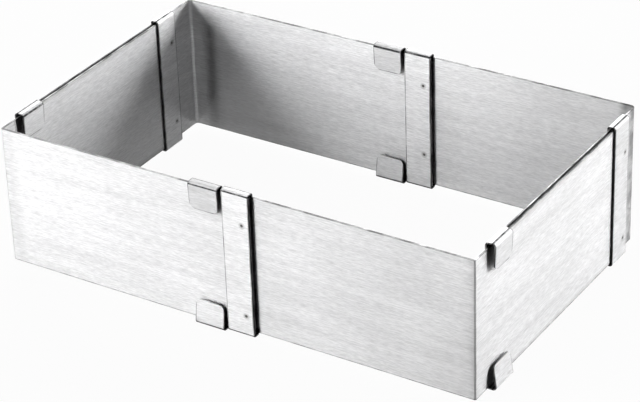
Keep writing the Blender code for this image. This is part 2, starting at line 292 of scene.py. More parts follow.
class RingFinish(bpy.types.PropertyGroup):
    """Colours and brushing of the steel, with painted shade and painted highlights"""

    # All sheets and bands are one steel; their colours differ only as painted light and shade, each made
    # lighter or darker by how it mirrors the studio
    front_left_colour: colour_property("Front Left Colour", "Colour of that sheet", (0.73, 0.73, 0.735))
    front_right_colour: colour_property("Front Right Colour", "Colour of that sheet", (0.72, 0.72, 0.725))
    back_right_colour: colour_property("Back Right Colour", "Colour of that sheet", (0.78, 0.78, 0.785))
    back_left_colour: colour_property("Back Left Colour", "Colour of that sheet", (0.80, 0.80, 0.805))
    front_band_colour: colour_property("Front Band Colour", "Colour of that band", (0.88, 0.88, 0.885))
    left_band_colour: colour_property("Left Band Colour", "Colour of that band", (0.92, 0.92, 0.925))
    right_band_colour: colour_property("Right Band Colour", "Colour of that band", (0.74, 0.74, 0.745))
    back_band_colour: colour_property("Back Band Colour", "Colour of that band", (0.94, 0.94, 0.945))
    cut_colour: colour_property("Cut Edge Colour", "Colour of the sheared edges", (0.80, 0.80, 0.805))
    weld_colour: colour_property("Weld Colour", "Colour of the scorched weld dents", (0.16, 0.155, 0.15))
    # One dark colour for painted shade in the folds, along the rims and along the bends, also used to dim
    # the outer sides of hooks and bands
    painted_shade_colour: colour_property(
        "Mark Colour", "Colour of press marks, burrs and scuffs", (0.03, 0.03, 0.031)
    )
    # The burnished rim's colour is also a painted highlight along the rims
    rim_wear_highlight_colour: colour_property("Edge Colour", "Colour of the burnished rim", (0.86, 0.86, 0.865))
    # Colour of the painted shade inside hooks, bands and the slots between sheets
    gap_shade_colour: colour_property("Shut-in Colour", "Colour inside hooks and bands", (0.04, 0.04, 0.042))
    # The fold marks are painted shade lines in the folds: how strongly they show and half their width
    fold_shade_strength: share_property("Fold Marks", "How strongly the press marks show", 1.0)
    fold_shade_width: length_property("Fold Mark Width", "Half the width of a press mark", 0.0007)
    # How strongly the burnished rim and its painted highlight show
    edge_wear_and_highlight: share_property("Edge Wear", "How strongly the rims are burnished", 0.45)
    edge_width: length_property("Edge Width", "Width of the burnished rim", 0.0009)
    # The burr is painted shade: a dark line along the rims
    burr: share_property("Burr", "How dark the line at the rims is", 0.75)
    # Width of the painted shade along a bend
    bend_shade_width: length_property("Scuff Width", "How far a scuffed bend reaches", 0.0085)
    # How strongly the painted shade inside hooks, bands and slots shows
    shut_in: share_property("Shut-in Dullness", "How dull the steel is inside hooks and bands", 0.95)
    # How far the outer sides of hooks and bands are dimmed
    handling: share_property("Handling", "How dull hooks and bands are outside", 0.14)
    cloud_contrast: share_property("Cloud Contrast", "How far hazy patches darken the steel", 0.10)
    streak_contrast: share_property("Streak Contrast", "How far the brush marks lighten and darken", 0.22)
    polished_roughness: share_property("Polished Roughness", "Roughness between the brush marks", 0.28)
    brushed_roughness: share_property("Brushed Roughness", "Roughness in the brush marks", 0.51)
    anisotropy: share_property("Brushing", "How far reflections stretch across the brush marks", 1.0)
    cut_roughness: share_property("Cut Edge Roughness", "Roughness of the sheared edges", 0.40)
    groove_depth: length_property("Groove Depth", "Depth of the brush marks", 0.000008)


class RingStage(bpy.types.PropertyGroup):
    """Camera, light and floor"""

    azimuth: angle_property("Azimuth", "How far the camera stands to the right of the front", 32.92)
    elevation: angle_property("Elevation", "How far the camera looks down", 29.75)
    roll: angle_property("Roll", "How far the camera is turned about its own axis", -2.13)
    distance: length_property("Distance", "From the camera to the point it aims at", 1.3607)
    aim: FloatVectorProperty(
        name="Aim", description="Point that the camera aims at",
        default=(0.00641, -0.01191, 0.0400), size=3, subtype="TRANSLATION", precision=5,
    )
    lens: FloatProperty(name="Lens", description="Focal length in millimetres", default=144.98)
    floor_size: length_property("Floor Size", "Side of the floor", 12.0)
    floor_colour: colour_property("Floor Colour", "Colour of the floor", (0.85, 0.85, 0.85))
    floor_white: share_property("Floor White", "How much of the floor is plain white to the camera", 0.96)
    mirrored_white: share_property("Mirrored White", "The same in what the steel reflects", 0.25)
    front_panel_azimuth: angle_property("Front Panel Azimuth", "From the front towards the right", -43)
    front_panel_spread: angle_property("Front Panel Spread", "How far it reaches to either side", 19)
    front_panel_height: angle_property("Front Panel Height", "Elevation of its upper edge", 35)
    front_panel_light: amount_property("Front Panel Light", "Strength of the panel", 5.2)
    side_panel_azimuth: angle_property("Side Panel Azimuth", "From the front towards the right", 152)
    side_panel_spread: angle_property("Side Panel Spread", "How far it reaches to either side", 24)
    side_panel_height: angle_property("Side Panel Height", "Elevation of its upper edge", 27)
    side_panel_light: amount_property("Side Panel Light", "Strength of the panel", 4.7)
    back_panel_azimuth: angle_property("Back Panel Azimuth", "From the front towards the right", 205)
    back_panel_spread: angle_property("Back Panel Spread", "How far it reaches to either side", 29)
    back_panel_height: angle_property("Back Panel Height", "Elevation of its upper edge", 40)
    back_panel_light: amount_property("Back Panel Light", "Strength of the panel", 3.8)
    panel_softness: angle_property("Panel Softness", "Width of the panels' soft borders", 8)
    room_light: amount_property("Room Light", "Strength of the light between the panels", 0.15)


class TreeBuilder:
    """Adds nodes to one node tree and joins them."""

    def __init__(self, tree):
        self.tree = tree

    def add(self, kind, inputs=(), **settings):
        node = self.tree.nodes.new(kind)
        for name, value in settings.items():
            setattr(node, name, value)
        for key, value in dict(inputs).items():
            self.feed(node.inputs[key], value)
        return node

    def feed(self, socket, value):
        """Join a socket to another node's output, or set its value."""
        if isinstance(value, bpy.types.NodeSocket):
            self.tree.links.new(value, socket)
        else:
            socket.default_value = value

    def math(self, operation, *values):
        """A sum done by one node."""
        return self.add("ShaderNodeMath", enumerate(values), operation=operation).outputs[0]

    def product(self, first, *others):
        """Values multiplied together."""
        for other in others:
            first = self.math("MULTIPLY", first, other)
        return first

    def ramp(self, value, span, to_low=0.0, to_high=1.0):
        """A value taken smoothly from a span (low, high) to another range and held there."""
        inputs = {"Value": value, "From Min": span[0], "From Max": span[1]}
        inputs |= {"To Min": to_low, "To Max": to_high}
        node = self.add("ShaderNodeMapRange", inputs, interpolation_type="SMOOTHSTEP")
        return node.outputs["Result"]

    def mix_colour(self, share, first, second):
        """The first colour with a share of the second."""
        node = self.add("ShaderNodeMix", data_type="RGBA")
        self.feed(node.inputs["Factor"], share)
        colours = [socket for socket in node.inputs if socket.type == "RGBA"]
        self.feed(colours[0], first)
        self.feed(colours[1], second)
        return next(socket for socket in node.outputs if socket.type == "RGBA")

    def noise(self, place, per_metre, fine_detail=0.5, detail=2):
        """Noise with so many marks in a metre along each axis."""
        scaling = {0: place, 1: per_metre}
        scaled = self.add("ShaderNodeVectorMath", scaling, operation="MULTIPLY").outputs[0]
        inputs = {"Vector": scaled, "Scale": 1.0, "Detail": detail, "Roughness": fine_detail}
        return self.add("ShaderNodeTexNoise", inputs).outputs[0]

    def spots(self, place, per_metre, span, between):
        """Spots at full strength, with less between them."""
        return self.ramp(self.noise(place, per_metre), span, between, 1.0)


def new_tree(name, kind, inputs, outputs):
    """A node group whose inputs and outputs are pairs of a name and a kind of socket."""
    tree = bpy.data.node_groups.new(name, kind)
    for direction, sockets in (("INPUT", inputs), ("OUTPUT", outputs)):
        for socket_name, socket_kind in sockets:
            tree.interface.new_socket(socket_name, in_out=direction, socket_type=socket_kind)
    return TreeBuilder(tree), tree.nodes.new("NodeGroupInput"), tree.nodes.new("NodeGroupOutput")


def press_brake_fold():
    """One fold of a flat strip: takes a distance along it and off it, and gives both after the fold."""
    inputs = [(name, FLOAT) for name in ("Along", "Off", *FOLD_MEASURES)]
    outputs = [("Along", FLOAT), ("Off", FLOAT)]
    builder, source, sink = new_tree("press_brake_fold", "GeometryNodeTree", inputs, outputs)
    along, off, start, radius, angle = source.outputs[:5]
    past = builder.math("MAXIMUM", builder.math("SUBTRACT", along, start), 0.0)
    turned = builder.math("MINIMUM", builder.math("DIVIDE", past, radius), angle)
    rest = builder.math("SUBTRACT", past, builder.product(turned, radius))
    spoke = builder.math("SUBTRACT", radius, off)
    sine = builder.math("SINE", turned)
    cosine = builder.math("COSINE", turned)
    flat_part = builder.math("MINIMUM", along, start)
    arc_part = builder.math("MULTIPLY_ADD", spoke, sine, flat_part)
    builder.feed(sink.inputs["Along"], builder.math("MULTIPLY_ADD", rest, cosine, arc_part))
    lifted = builder.math("SUBTRACT", radius, builder.product(spoke, cosine))
    builder.feed(sink.inputs["Off"], builder.math("MULTIPLY_ADD", rest, sine, lifted))
    return builder.tree


def sheet_metal_folder():
    """The tree that folds a blank: the flanges above and below it first, then its upright bend."""
    sizes = ["Sheet Height", "Wave Height", "Wave Length", "Weld Radius", "Weld Depth"]
    sizes += [f"{fold} {measure}" for fold in FOLD_NAMES for measure in FOLD_MEASURES]
    inputs = [("Geometry", GEOMETRY), *((name, FLOAT) for name in sizes), ("Steel", MATERIAL)]
    builder, source, sink = new_tree(
        "sheet_metal_folder", "GeometryNodeTree", inputs, [("Geometry", GEOMETRY)]
    )
    size = source.outputs
    fold_tree = press_brake_fold()

    def fold(along, off, name):
        inputs = {measure: size[f"{name} {measure}"] for measure in FOLD_MEASURES}
        inputs |= {"Along": along, "Off": off}
        node = builder.add("GeometryNodeGroup", inputs, node_tree=fold_tree)
        return node.outputs["Along"], node.outputs["Off"]

    def attribute(name):
        node = builder.add("GeometryNodeInputNamedAttribute", {"Name": name}, data_type="FLOAT")
        return node.outputs["Attribute"]

    place = builder.add("GeometryNodeInputPosition").outputs["Position"]
    split = builder.add("ShaderNodeSeparateXYZ", {"Vector": place})
    run, height = split.outputs["X"], split.outputs["Y"]

    wave_inputs = {"Vector": place, "Detail": 1.0}
    wave_inputs["Scale"] = builder.math("DIVIDE", 1.0, size["Wave Length"])
    wave = builder.add("ShaderNodeTexNoise", wave_inputs, noise_dimensions="3D").outputs[0]
    centred = builder.math("MULTIPLY_ADD", wave, 2.0, -1.0)
    waved = builder.product(centred, size["Wave Height"], attribute(WAVE_SHARE))
    reach = builder.math("DIVIDE", attribute(WELD_DISTANCE), size["Weld Radius"])
    bowl = builder.math("SUBTRACT", 1.0, builder.product(reach, reach))
    dent = builder.product(builder.math("MAXIMUM", bowl, 0.0), size["Weld Depth"])
    off = builder.math("ADD", waved, dent)

    beyond = builder.math("SUBTRACT", height, size["Sheet Height"])
    beyond, off = fold(beyond, off, "Top Second Fold")
    beyond, off = fold(beyond, off, "Top First Fold")
    height = builder.math("ADD", beyond, size["Sheet Height"])
    below = builder.product(height, -1.0)
    below, off = fold(below, off, "Foot Second Fold")
    below, off = fold(below, off, "Foot First Fold")
    height = builder.product(below, -1.0)

    sided = builder.product(off, attribute(FOLD_SIDE))
    run, across = fold(run, sided, "Corner")
    folded = builder.add("ShaderNodeCombineXYZ", {"X": run, "Y": across, "Z": height}).outputs[0]
    moved = builder.add("GeometryNodeSetPosition", {"Geometry": size["Geometry"], "Position": folded})
    real = builder.add("GeometryNodeRealizeInstances", {"Geometry": moved.outputs[0]})
    steel = {"Geometry": real.outputs[0], "Material": size["Steel"]}
    dressed = builder.add("GeometryNodeSetMaterial", steel)
    builder.feed(sink.inputs["Geometry"], dressed.outputs[0])
    return builder.tree


def flange_of(points, radii):
    """The folds that bend a strip into a section's points, and the strip's length."""
    folds = []
    length = 0.0
    setback = 0.0
    for before, corner, after, radius in zip(points, points[1:], points[2:], radii):
        angle = (corner - before).angle(after - corner)
        next_setback = radius * tan(angle / 2)
        start = length + (corner - before).length - setback - next_setback
        folds.append(Fold(start, radius, angle))
        length = start + radius * angle
        setback = next_setback
    length += (points[-1] - points[-2]).length - setback
    return Flange(tuple(folds), length)


def hook_flange(sheets, hooks, end, rise):
    """The flange of a top or foot hook, from the sheet's edge: away from it, then back along it."""
    standoff, tip_standoff, reach, radius = (
        getattr(hooks, f"{end}_{size}") for size in ("standoff", "tip_standoff", "reach", "radius")
    )
    over = sheets.pitch + sheets.thickness
    points = [
        Vector((0, 0)),
        Vector((0, rise)),
        Vector((over + standoff, rise)),
        Vector((over + tip_standoff, -reach)),
    ]
    return flange_of(points, (rise, radius))


def lip_flange(bands, rise, depth):
    """The flange of one end of a guide band, from the sheet's edge over both sheets."""
    points = [Vector((0, 0)), Vector((0, rise)), Vector((depth, rise)), Vector((depth, -bands.lip))]
    return flange_of(points, (bands.fold_radius, bands.fold_radius))


def spread(start, end, spacing):
    """Even stations from start to end, at most one spacing apart, without the last."""
    count = max(1, ceil((end - start) / spacing))
    return [start + (end - start) * step / count for step in range(count)]


def flange_rows(flange, corner, steps):
    """Stations along a flange: fine in the folds and where its free corners are rounded."""
    rows = []
    here = 0.0
    for fold in flange.folds:
        bent = fold.radius * fold.angle
        if fold.start > here:
            rows += spread(here, fold.start, TAB_GRID)
        rows += spread(fold.start, fold.start + bent, bent / steps)
        here = fold.start + bent
    rows += spread(here, flange.length - corner, TAB_GRID)
    for step in range(CORNER_STEPS + 1):
        rows.append(flange.length - corner * (1 - sin(pi / 2 * step / CORNER_STEPS)))
    return rows


def with_flanges(wall_rows, top, foot, corner, steps):
    """A wall's rows with those of its foot flange below them and of its top flange above."""
    below = flange_rows(foot, corner, steps)[1:]
    above = flange_rows(top, corner, steps)[1:]
    return [-row for row in reversed(below)] + wall_rows + [SHEET_HEIGHT + row for row in above]


def rounded_in(past_tip, corner):
    """How much narrower a rounded tab is on each side, at a distance from its tip."""
    inside = min(max(corner - past_tip, 0.0), corner)
    return corner - sqrt(corner**2 - inside**2)


class Blank:
    """A flat sheet of steel before folding, drawn on a grid of columns and rows."""

    def __init__(
        self, columns, rows, top, foot, tabs, corner,
        upright=NO_FOLD, welds=(), overlaps=(FAR, FAR), wave_inset=FAR,
    ):
        self.columns = columns
        self.rows = rows
        self.top = top
        self.foot = foot
        self.tabs = tabs
        self.corner = corner
        self.upright = upright
        self.bend = upright.start + upright.radius * upright.angle / 2
        self.welds = welds
        self.overlaps = overlaps
        self.wave_inset = wave_inset

    def tab_at(self, low, high):
        """The tab whose stretch holds a column, or None."""
        for tab in self.tabs:
            if low >= tab.start - TOLERANCE and high <= tab.end + TOLERANCE:
                return tab
        return None

    def place(self, run, height, tab):
        """Where a grid point lies once its tab's free corners are rounded."""
        if tab is None:
            return run
        flange = self.top if height > SHEET_HEIGHT else self.foot
        past = height - SHEET_HEIGHT if height > SHEET_HEIGHT else -height
        if past <= 0:
            return run
        middle, half = (tab.start + tab.end) / 2, (tab.end - tab.start) / 2
        narrower = rounded_in(flange.length - past, self.corner)
        return middle + (run - middle) * (half - narrower) / half

    def side_of(self, run):
        """The side that the flanges fold to at this point of the run."""
        tab = self.tab_at(run, run)
        return INWARD if tab is None else tab.side

    def distance_to_fold_shade_line(self, run, height):
        """How far a point lies from the nearest line of painted fold shade in a fold."""
        tab = self.tab_at(run, run)
        if tab is None:
            return FAR
        above = height > SHEET_HEIGHT
        past = height - SHEET_HEIGHT if above else -height
        first, second = self.top.folds if above else self.foot.folds
        lines = (
            first.start + (1 - tab.press.first) * first.radius * first.angle,
            second.start + tab.press.second * second.radius * second.angle,
        )
        fineness = tab.press.top_fineness if above else 1
        return fineness * min(abs(past - line) for line in lines)

    # The shut-in side found here carries painted shade in the finish
    def hollow_side(self, run, height):
        """Which side of the steel another sheet, a hook or a band shuts in: 0 if none.

        A wall is counted as shut in only along the edges of the slot between two sheets.
        """
        start, end = self.overlaps
        if start == FAR or not 0 <= height <= SHEET_HEIGHT:
            return self.side_of(run)
        if TOLERANCE < height < SHEET_HEIGHT - TOLERANCE:
            return 0
        if run <= start:
            return OUTWARD
        return INWARD if run >= self.columns[-1] - end else 0

    def wave_share(self, run):
        """How much of the waving a point takes: none near the free ends, all further in."""
        inside = min(run, self.columns[-1] - run) / self.wave_inset - 1
        return min(max(inside, 0.0), 1.0)

    def distance_to_edge(self, run, height, tab):
        """How far a point lies from the nearest cut edge."""
        length = self.columns[-1]
        if tab is None:
            return min(run, length - run, height, SHEET_HEIGHT - height)
        sides = [abs(run - tab.start), abs(run - tab.end)]
        ends = [self.foot.length + height, SHEET_HEIGHT + self.top.length - height]
        if 0 <= height <= SHEET_HEIGHT:
            sides = [min(run, length - run)]
        return max(0.0, min(sides + ends))

    def mesh(self, name, shift):
        """The blank as a flat mesh with its map and attributes."""
        points = {}
        places, grid_places, sides, edges, faces = [], [], [], [], []

        def point(column, row, tab):
            key = (column, row)
            if key not in points:
                run, height = self.columns[column], self.rows[row]
                points[key] = len(places)
                placed = self.place(run, height, tab)
                places.append((placed, height, 0.0))
                grid_places.append((run, height))
                sides.append(self.side_of(run))
                edges.append(self.distance_to_edge(placed, height, tab))
            return points[key]

        for column in range(len(self.columns) - 1):
            tab = self.tab_at(self.columns[column], self.columns[column + 1])
            for row in range(len(self.rows) - 1):
                low, high = self.rows[row], self.rows[row + 1]
                on_wall = low >= -TOLERANCE and high <= SHEET_HEIGHT + TOLERANCE
                if on_wall or tab is not None:
                    corners = ((column, row), (column + 1, row), (column + 1, row + 1), (column, row + 1))
                    faces.append([point(*corner, tab) for corner in corners])
        mesh = bpy.data.meshes.new(name)
        mesh.from_pydata(places, [], faces)
        for attribute_name, values in (
            (FOLD_SIDE, sides),
            (EDGE_DISTANCE, edges),
            (WELD_DISTANCE, [self.distance_to_weld(place) for place in places]),
            (FOLD_SHADE_DISTANCE, [self.distance_to_fold_shade_line(*grid_place) for grid_place in grid_places]),
            (WAVE_SHARE, [self.wave_share(place[0]) for place in places]),
            (HOLLOW_SIDE, [self.hollow_side(*grid_place) for grid_place in grid_places]),
            (BEND_DISTANCE, [abs(place[0] - self.bend) for place in places]),
        ):
            attribute = mesh.attributes.new(attribute_name, "FLOAT", "POINT")
            attribute.data.foreach_set("value", values)
        blank_map = mesh.uv_layers.new(name=BLANK_MAP)
        for loop in mesh.loops:
            run, height, _ = places[loop.vertex_index]
            blank_map.data[loop.index].uv = (run + shift[0], height + shift[1])
        return mesh

    def distance_to_weld(self, place):
        """How far a point lies from the middle of the nearest weld dent."""
        distances = [hypot(place[0] - run, place[1] - height) for run, height in self.welds]
        return min(distances, default=FAR)


def modifier_input(modifier, name, value):
    """Set a Geometry Nodes input by its socket's identifier."""
    for item in modifier.node_group.interface.items_tree:
        if item.item_type == "SOCKET" and item.in_out == "INPUT" and item.name == name:
            modifier[item.identifier] = value
            return
    raise KeyError(name)


def folder_inputs(blank, steel, sheets, bands):
    """What the folding tree is told about a blank."""
    values = {
        "Sheet Height": SHEET_HEIGHT,
        "Wave Height": sheets.wave_height,
        "Wave Length": sheets.wave_length,
        "Weld Radius": bands.weld_radius,
        "Weld Depth": bands.weld_depth,
        "Steel": steel,
    }
    for name, fold in zip(FOLD_NAMES, (*blank.top.folds, *blank.foot.folds, blank.upright)):
        for measure, value in zip(FOLD_MEASURES, fold):
            values[f"{name} {measure}"] = value
    return values


def fold_blank(name, blank, map_place, steels, place, sheets, bands):
    """Fold a blank, give it its thickness and rounded edges, and return the finished object."""
    mesh = blank.mesh(name, map_place)
    piece = bpy.data.objects.new(name, mesh)
    bpy.context.scene.collection.objects.link(piece)
    for steel in steels:
        mesh.materials.append(steel)
    folder = piece.modifiers.new("folder", "NODES")
    folder.node_group = bpy.data.node_groups.get("sheet_metal_folder") or sheet_metal_folder()
    for input_name, value in folder_inputs(blank, steels[0], sheets, bands).items():
        modifier_input(folder, input_name, value)

    solidify = piece.modifiers.new("thickness", "SOLIDIFY")
    solidify.thickness = sheets.thickness
    solidify.offset = 0
    solidify.use_even_offset = True
    solidify.material_offset_rim = 1
    solidify.shell_vertex_group = piece.vertex_groups.new(name="shell").name
    bevel = piece.modifiers.new("rounded_edges", "BEVEL")
    bevel.width = sheets.edge_rounding
    bevel.segments = ROUNDING_FACES
    bevel.limit_method = "ANGLE"
    bevel.angle_limit = ROUNDED_ABOVE

    bpy.context.view_layer.update()
    evaluated = piece.evaluated_get(bpy.context.evaluated_depsgraph_get())
    finished = bpy.data.meshes.new_from_object(evaluated)
    piece.modifiers.clear()
    piece.data = finished
    hollow = finished.attributes[HOLLOW_SIDE].data
    for vertex in finished.vertices:
        hollow[vertex.index].value *= 1 if vertex.groups else -1
    piece.vertex_groups.clear()
    finished.name = name
    finished.materials.clear()
    for steel in steels:
        finished.materials.append(steel)
    finished.transform(place)
    finished.shade_smooth()
    finished.set_sharp_from_angle(angle=SMOOTH_BELOW)
    return piece


def corner_plans(sheets):
    """The four bent sheets, walking round the ring from the front left corner."""
    pitch = sheets.pitch
    front_left_low, front_left_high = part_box("front_left_corner")
    front_right_low, front_right_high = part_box("front_right_corner")
    back_right_low, back_right_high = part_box("back_right_corner")
    back_left_low, back_left_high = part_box("back_left_corner")
    left, right = back_left_low.x, front_right_high.x
    front, back = front_left_low.y, back_right_high.y
    front_overlap = front_left_high.x - front_right_low.x
    right_overlap = front_right_high.y - back_right_low.y
    back_overlap = back_left_high.x - back_right_low.x
    left_overlap = front_left_high.y - back_left_low.y
    return (
        Corner(
            "front_left_sheet", "front_left_corner", "front_left", sheets.corner_radius, radians(-90),
            Vector((left + pitch, front)),
            Leg(front_left_high.y - front, PLAIN, left_overlap, LEFT_FOLD_SHADE),
            Leg(front_left_high.x - left - pitch, PLAIN, front_overlap, FRONT_FOLD_SHADE),
        ),
        Corner(
            "front_right_sheet", "front_right_corner", "front_right", sheets.corner_radius, 0,
            Vector((right, front + pitch)),
            Leg(right - front_right_low.x, OUTWARD, front_overlap, FRONT_FOLD_SHADE),
            Leg(front_right_high.y - front - pitch, PLAIN, right_overlap, RIGHT_FOLD_SHADE),
        ),
        Corner(
            "back_right_sheet", "back_right_corner", "back_right", sheets.back_right_radius, radians(90),
            Vector((right - pitch, back)),
            Leg(back - back_right_low.y, OUTWARD, right_overlap, RIGHT_FOLD_SHADE),
            Leg(right - pitch - back_right_low.x, INWARD, back_overlap, BACK_FOLD_SHADE),
        ),
        Corner(
            "back_left_sheet", "back_left_corner", "back_left", sheets.back_left_radius, radians(180),
            Vector((left, back - pitch)),
            Leg(back_left_high.x - left, PLAIN, back_overlap, BACK_FOLD_SHADE),
            Leg(back - pitch - back_left_low.y, INWARD, left_overlap, LEFT_FOLD_SHADE),
        ),
    )


def corner_blank(corner, sheets, hooks):
    """The blank of a bent sheet, with a tab above and below each of its sliding ends."""
    half = sheets.thickness / 2
    start = corner.arriving.length - half - corner.radius
    bent = corner.radius * pi / 2
    run = start + bent + corner.leaving.length - half - corner.radius
    columns, tabs = [], []
    first_plain, last_plain = 0.0, run
    if corner.arriving.hook_side != PLAIN:
        first_plain = hooks.width
        tabs.append(Tab(0.0, first_plain, corner.arriving.hook_side, corner.arriving.press))
        columns += spread(0.0, first_plain, TAB_GRID)
    if corner.leaving.hook_side != PLAIN:
        last_plain = run - hooks.width
        tabs.append(Tab(last_plain, run, corner.leaving.hook_side, corner.leaving.press))
    columns += spread(first_plain, start, WALL_GRID)
    columns += spread(start, start + bent, bent / sheets.bend_steps)
    columns += spread(start + bent, last_plain, WALL_GRID)
    if last_plain < run:
        columns += spread(last_plain, run, TAB_GRID)
    columns.append(run)
    rows = spread(0.0, SHEET_HEIGHT, WALL_GRID) + [SHEET_HEIGHT]
    top = foot = UNFOLDED
    if tabs:
        top = hook_flange(sheets, hooks, "top", HOOK_TOP - SHEET_TOP - half)
        foot = hook_flange(sheets, hooks, "foot", SHEET_FOOT - HOOK_FOOT - half)
        rows = with_flanges(rows, top, foot, hooks.tab_corner, sheets.bend_steps)
    return Blank(
        columns, rows, top, foot, tabs, hooks.tab_corner,
        upright=Fold(start, corner.radius, pi / 2),
        overlaps=(corner.arriving.overlap, corner.leaving.overlap),
        wave_inset=sheets.wave_inset,
    )


def spread_past_welds(end, weld_places, spacing, bands):
    """Even stations from 0 to end, fine at each weld dent."""
    stations = []
    here = 0.0
    fine = bands.weld_radius * WELD_SURROUND
    for place in weld_places:
        stations += spread(here, place - fine, spacing)
        stations += spread(place - fine, place + fine, bands.weld_grid)
        here = place + fine
    return stations + spread(here, end, spacing) + [end]


def band_blank(band, sheets, bands):
    """The blank of a guide band: one tab over its whole width, with two weld dents."""
    low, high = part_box(band.node)
    size = high - low
    half = sheets.thickness / 2
    width, depth = (size.y, size.x) if band.turn else (size.x, size.y)
    top = lip_flange(bands, high.z - half - SHEET_TOP, depth - sheets.thickness)
    foot = lip_flange(bands, SHEET_FOOT - low.z - half, depth - sheets.thickness)
    columns = spread_past_welds(width, [bands.weld_inset], TAB_GRID, bands)
    rows = spread_past_welds(SHEET_HEIGHT, band.weld_heights, BAND_GRID, bands)
    rows = with_flanges(rows, top, foot, bands.lip_corner, sheets.bend_steps)
    tabs = [Tab(0.0, width, INWARD, band.press)]
    welds = [(bands.weld_inset, height) for height in band.weld_heights]
    return Blank(columns, rows, top, foot, tabs, bands.lip_corner, welds=welds)


def carried(builder, name):
    """A value that the blank carries at each point."""
    node = builder.add("ShaderNodeAttribute", attribute_name=name, attribute_type="GEOMETRY")
    return node.outputs["Fac"]


def grain_group(name):
    """Brush marks along the sheet: hairlines, streaks and broad bands, under hazy patches."""
    amounts = ("Streak Contrast", "Cloud Contrast", "Polished Roughness", "Brushed Roughness")
    inputs = [("Place", VECTOR), ("Steel", COLOUR), *((amount, FLOAT) for amount in amounts)]
    outputs = [("Colour", COLOUR), ("Roughness", FLOAT), ("Height", FLOAT)]
    builder, source, sink = new_tree(name, "ShaderNodeTree", inputs, outputs)
    place, steel, contrast, cloudiness, polished, brushed = source.outputs[:6]
    hairlines = builder.noise(place, HAIRLINES_PER_METRE, FINE_DETAIL)
    streaks = builder.noise(place, STREAKS_PER_METRE, FINE_DETAIL)
    broad = builder.noise(place, BANDS_PER_METRE)
    clouds = builder.noise(place, CLOUDS_PER_METRE)

    marks = builder.math("MULTIPLY_ADD", hairlines, HAIRLINE_SHARE, builder.product(streaks, STREAK_SHARE))
    marks = builder.math("MULTIPLY_ADD", broad, BROAD_SHARE, marks)
    centred = builder.math("MULTIPLY_ADD", builder.ramp(marks, BRUSHED_SPAN), 2.0, -1.0)
    shade = builder.math("MULTIPLY_ADD", centred, contrast, 1.0)
    hazy = builder.ramp(clouds, HAZE_SPAN)
    cleared = builder.math("SUBTRACT", 1.0, builder.product(hazy, cloudiness))
    toning = {0: steel, "Scale": builder.product(shade, cleared)}
    toned = builder.add("ShaderNodeVectorMath", toning, operation="SCALE")
    builder.feed(sink.inputs["Colour"], toned.outputs[0])

    groove = builder.math("MULTIPLY_ADD", streaks, GROOVE_STREAK_SHARE, hairlines)
    span = builder.math("SUBTRACT", brushed, polished)
    rough = builder.math("MULTIPLY_ADD", builder.ramp(groove, GROOVE_SPAN), span, polished)
    hazed = builder.math("MULTIPLY_ADD", hazy, HAZE_ROUGHNESS, rough)
    builder.feed(sink.inputs["Roughness"], hazed)
    builder.feed(sink.inputs["Height"], marks)
    return builder.tree


def mark_group(name):
    """A painted line of shade or highlight that runs along the steel, broken into spots."""
    mark = MARKS[name]
    inputs = [("Place", VECTOR), ("Width", FLOAT), ("Strength", FLOAT)]
    builder, source, sink = new_tree(name, "ShaderNodeTree", inputs, [("Mask", FLOAT)])
    place, width, strength = source.outputs[:3]
    reach = builder.math("DIVIDE", carried(builder, mark.distance), width)
    line = builder.ramp(reach, mark.border, 1.0, 0.0)
    worn = builder.spots(place, mark.spots_per_metre, mark.spots, mark.between_spots)
    builder.feed(sink.inputs["Mask"], builder.product(line, worn, strength))
    return builder.tree


def weld_group(name):
    """The scorched bowl of a weld dent and the faint ring round it."""
    builder, source, sink = new_tree(name, "ShaderNodeTree", [("Radius", FLOAT)], [("Mask", FLOAT)])
    reach = builder.math("DIVIDE", carried(builder, WELD_DISTANCE), source.outputs["Radius"])
    bowl = builder.ramp(reach, WELD_BOWL, 1.0, 0.0)
    ring = builder.ramp(reach, WELD_RING, WELD_RING_SHARE, 0.0)
    builder.feed(sink.inputs["Mask"], builder.math("MAXIMUM", bowl, ring))
    return builder.tree


def gap_shade_group(name):
    """Patchy painted shade on the side that a hook or a band shuts in, and patchy dimming of its outside.
    """
    inputs = [("Place", VECTOR), ("Strength", FLOAT), ("Handling", FLOAT)]
    outputs = [("Mask", FLOAT), ("Handled", FLOAT)]
    builder, source, sink = new_tree(name, "ShaderNodeTree", inputs, outputs)
    place, strength, handling = source.outputs[:3]
    side = carried(builder, HOLLOW_SIDE)
    dimmed = builder.spots(place, PATCHES_PER_METRE, DIMMED_SPOTS, DIMMED_BETWEEN_SPOTS)
    shut_in = builder.ramp(side, GAP_SHADE_SPAN)
    outside = builder.ramp(side, OUTSIDE_DIMMED_SPAN, 1.0, 0.0)
    builder.feed(sink.inputs["Mask"], builder.product(shut_in, dimmed, strength))
    builder.feed(sink.inputs["Handled"], builder.product(outside, dimmed, handling))
    return builder.tree


